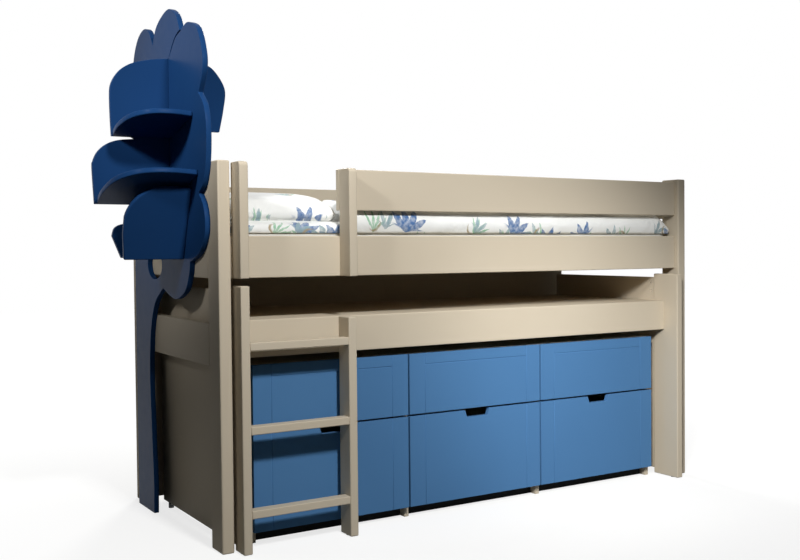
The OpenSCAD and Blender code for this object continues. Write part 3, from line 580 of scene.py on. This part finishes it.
# Duvet: one filled cover that lies over the whole mattress and hangs down beside the rails. It is
# pressed thin under the pillow, puffs up next to it and lies in loose folds from there to the foot.
# Its half sections run from the hem to the middle, as metres inwards and metres up.
low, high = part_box("duvet")
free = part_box("pillow")[1].x + 0.004
flat_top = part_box("mattress")[1].z
length, width, hem = high.x - low.x, high.y - low.y, low.z
columns, rows = 210, 120
pressed, puff_run, end_run = 0.233, 0.035, 0.07
outer = [(0.0, 0.0), (0.001, 0.034), (0.003, 0.058), (0.008, 0.08), (0.02, 0.092), (0.05, 0.096),
         (0.11, 0.096), (0.45, 0.096)]
inner = [(0.003, 0.0), (0.0036, 0.006), (0.0065, 0.014), (0.0125, 0.0235), (0.032, 0.029),
         (0.11, 0.0292), (0.45, 0.0292)]


def section(points, share):
    """A point that share of the way along the half section, from hem to middle."""
    whole = sum(math.dist(a, b) for a, b in zip(points, points[1:]))
    left = share * whole
    for a, b in zip(points, points[1:]):
        part = math.dist(a, b)
        if left <= part or b is points[-1]:
            t = min(1.0, left / part)
            return a[0] + (b[0] - a[0]) * t, a[1] + (b[1] - a[1]) * t
        left -= part


def over_bed(s, t, points, rise):
    """The place on a section at s along the bed and t across it."""
    side, up = section(points, 1 - abs(2 * t - 1))
    y = low.y + 0.0005 + side if t < 0.5 else high.y - 0.0005 - side
    return Vector((low.x + length * s, y, hem + 0.0025 + up + rise))


def folds(x, t):
    """Height of the duvet's loose folds over its plain form, nothing at the hem."""
    flat_edge, rising = 0.09, 0.13
    ridge_height, wave_height, mound_height, mound_start, mound_run = 0.012, 0.006, 0.018, 0.06, 0.26
    loose = min(1.0, max(0.0, (1 - abs(2 * t - 1) - flat_edge) / rising))
    p = Vector((x * 3.6, t * 3.0, 0.4))
    ridge = (1 - abs(noise.noise(p * 1.3 + Vector((0.0, 2.0 * t, 7.1))))) ** 5
    wave = noise.noise(p * 0.9) - 1
    beside = max(0.0, 1 - (max(0.0, x - free - mound_start) / mound_run) ** 2)
    return loose * (ridge_height * ridge + wave_height * wave + mound_height * beside)


bm = bmesh.new()
bmesh.ops.create_grid(bm, x_segments=columns, y_segments=rows, size=0.5)
cut = bm.loops.layers.uv.new("cut")
drop = 0.0875
span = 2 * drop + width
for face in bm.faces:
    for loop in face.loops:
        loop[cut].uv = ((loop.vert.co.x + 0.5) * length, (loop.vert.co.y + 0.5) * span)
grown = bmesh.ops.extrude_face_region(bm, geom=bm.faces[:])
inside = {v for v in grown["geom"] if isinstance(v, bmesh.types.BMVert)}
for vert in bm.verts:
    s, t = vert.co.x + 0.5, vert.co.y + 0.5
    if vert in inside:
        vert.co = over_bed(s, t, inner, 0.0)
    else:
        x = low.x + length * s
        puff = math.sin(min(1.0, max(0.0, (x - free) / puff_run)) * math.pi / 2) ** 1.2
        taper = min(1.0, (min(s, 1 - s) * length / end_run) ** 0.5)
        below = over_bed(s, t, inner, 0.002)
        above = over_bed(s, t, outer, folds(x, t) * puff)
        vert.co = below.lerp(above, taper * (puff + (1 - puff) * pressed))
bmesh.ops.recalc_face_normals(bm, faces=bm.faces)
mesh = bpy.data.meshes.new("duvet_form")
bm.to_mesh(mesh)
bm.free()
side_strip = 0.03


def held_down(co):
    """The duvet's hems, its strips beside the rails and what the pillow presses stay in place."""
    return (co.z < flat_top + 0.02 or co.y < low.y + side_strip or co.y > high.y - side_strip
            or co.x < free + 0.01)


mesh = swell(mesh, "duvet", 1.5, 0.012, 0.05, held_down)
slot_bottom, slot_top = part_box("front_bed_rail")[1].z + 0.004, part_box("front_guard_rail")[0].z
bulge, ripple_depth = 0.015, 0.006
for vert in mesh.vertices:
    share = (vert.co.z - slot_bottom) / (slot_top - slot_bottom)
    if vert.co.y < low.y + side_strip and 0 < share < 1:
        ripple = noise.noise(Vector((vert.co.x * 9.0, vert.co.z * 14.0, 3.3)))
        vert.co.y -= (bulge + ripple_depth * ripple) * math.sin(math.pi * share) ** 0.7
mesh = finish_cloth(mesh, 1, False)
duvet = show(mesh, "duvet_cover", cotton, "bed")
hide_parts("duvet")

# Floor and light: a pale floor that fades into white, a soft-edged studio spot high up at the
# front, one each for the lower right, the back and the tree's crown, and a dim, even room.
def seen_directly(holder):
    """1 for the rays that show the backdrop: straight, mirrored or through glass."""
    way = add(holder, "ShaderNodeLightPath")
    glass = add(holder, "ShaderNodeMath", {"operation": "MAXIMUM"},
                {0: way.outputs["Is Glossy Ray"], 1: way.outputs["Is Transmission Ray"]})
    return add(holder, "ShaderNodeMath", {"operation": "MAXIMUM"},
               {0: way.outputs["Is Camera Ray"], 1: glass.outputs[0]}).outputs[0]


fade_start, fade_end, near_level = 0.9, 2.6, 0.76
floor_paint = new_material("pale_floor")
paint = add(floor_paint, "ShaderNodeBsdfDiffuse", links={"Color": linear("#969694")})
place = add(floor_paint, "ShaderNodeTexCoord").outputs["Object"]
away = add(floor_paint, "ShaderNodeVectorMath", {"operation": "LENGTH"}, {0: place})
fade = add(floor_paint, "ShaderNodeMapRange", links={
    "Value": away.outputs["Value"], 1: fade_start, 2: fade_end, 3: near_level, 4: 1.0})
lift = add(floor_paint, "ShaderNodeEmission", links={"Color": (1, 1, 1, 1),
                                                     "Strength": fade.outputs[0]})
both = add(floor_paint, "ShaderNodeAddShader", links={0: paint.outputs[0], 1: lift.outputs[0]})
shown = add(floor_paint, "ShaderNodeMixShader", links={
    0: seen_directly(floor_paint), 1: paint.outputs[0], 2: both.outputs[0]})
add(floor_paint, "ShaderNodeOutputMaterial", links={"Surface": shown.outputs[0]})
bm = bmesh.new()
bmesh.ops.create_grid(bm, x_segments=2, y_segments=2, size=14.0)
mesh = bpy.data.meshes.new("floor")
bm.to_mesh(mesh)
bm.free()
mesh.materials.append(floor_paint)
floor = bpy.data.objects.new("floor", mesh)
bpy.context.scene.collection.objects.link(floor)

world = bpy.data.worlds.new("room")
bpy.context.scene.world = world
world.use_nodes = True
world.node_tree.nodes.clear()
room_level = 0.05
level = add(world, "ShaderNodeMapRange", links={"Value": seen_directly(world), 3: room_level,
                                                4: 1.0})
room = add(world, "ShaderNodeBackground", links={"Color": (1, 1, 1, 1),
                                                 "Strength": level.outputs[0]})
add(world, "ShaderNodeOutputWorld", links={"Surface": room.outputs[0]})


def spot(name, place, aim, angle, radius, power):
    """A spot lamp whose beam is angle degrees wide and fades right from its middle."""
    data = bpy.data.lights.new(name, "SPOT")
    data.energy = power
    data.spot_size = math.radians(angle)
    data.spot_blend = 1.0
    data.shadow_soft_size = radius
    light = bpy.data.objects.new(name, data)
    light.location = place
    light.rotation_euler = (Vector(aim) - Vector(place)).to_track_quat("-Z", "Y").to_euler()
    bpy.context.scene.collection.objects.link(light)


spot("key", (-0.75, -3.5, 3.4), (-0.27, -0.45, 0.95), 48, 0.2, 590)
spot("low", (-2.0, -3.3, 2.3), (1.0, -0.4, 0.28), 27, 0.25, 660)
spot("back", (1.6, 4.6, 3.0), (0.1, 0.4, 0.7), 60, 0.6, 700)
spot("crown", (-3.6, -1.7, 3.2), (-0.95, -0.15, 1.72), 25, 0.3, 620)

# Camera: where the photograph was taken from, worked out from the bed's edges in it. The focal
# length and the centre are in pixels of the picture, and the shift keeps the bed's place in it.
yaw, pitch, roll = (math.radians(a) for a in (35.6, -1.6, -0.34))
focal, centre_x, centre_y, picture_w, picture_h = 1061.6, 530.0, 274.9, 800, 560
stand = Vector((-2.0941, -3.8767, 1.0133))
forward = Vector((math.sin(yaw) * math.cos(pitch), math.cos(yaw) * math.cos(pitch),
                  math.sin(pitch)))
right = Vector((math.cos(yaw), -math.sin(yaw), 0))
up = right.cross(forward)
side = right * math.cos(roll) + up * math.sin(roll)
top = up * math.cos(roll) - right * math.sin(roll)
lens = bpy.data.cameras.new("camera")
lens.sensor_width = 36
lens.lens = focal / picture_w * lens.sensor_width
lens.shift_x = (picture_w / 2 - centre_x) / picture_w
lens.shift_y = (centre_y - picture_h / 2) / picture_w
camera = bpy.data.objects.new("camera", lens)
turned = Matrix((side, top, -forward)).transposed()
camera.matrix_world = Matrix.Translation(stand) @ turned.to_4x4()
bpy.context.scene.collection.objects.link(camera)
bpy.context.scene.camera = camera
bpy.context.scene.view_settings.view_transform = "Standard"
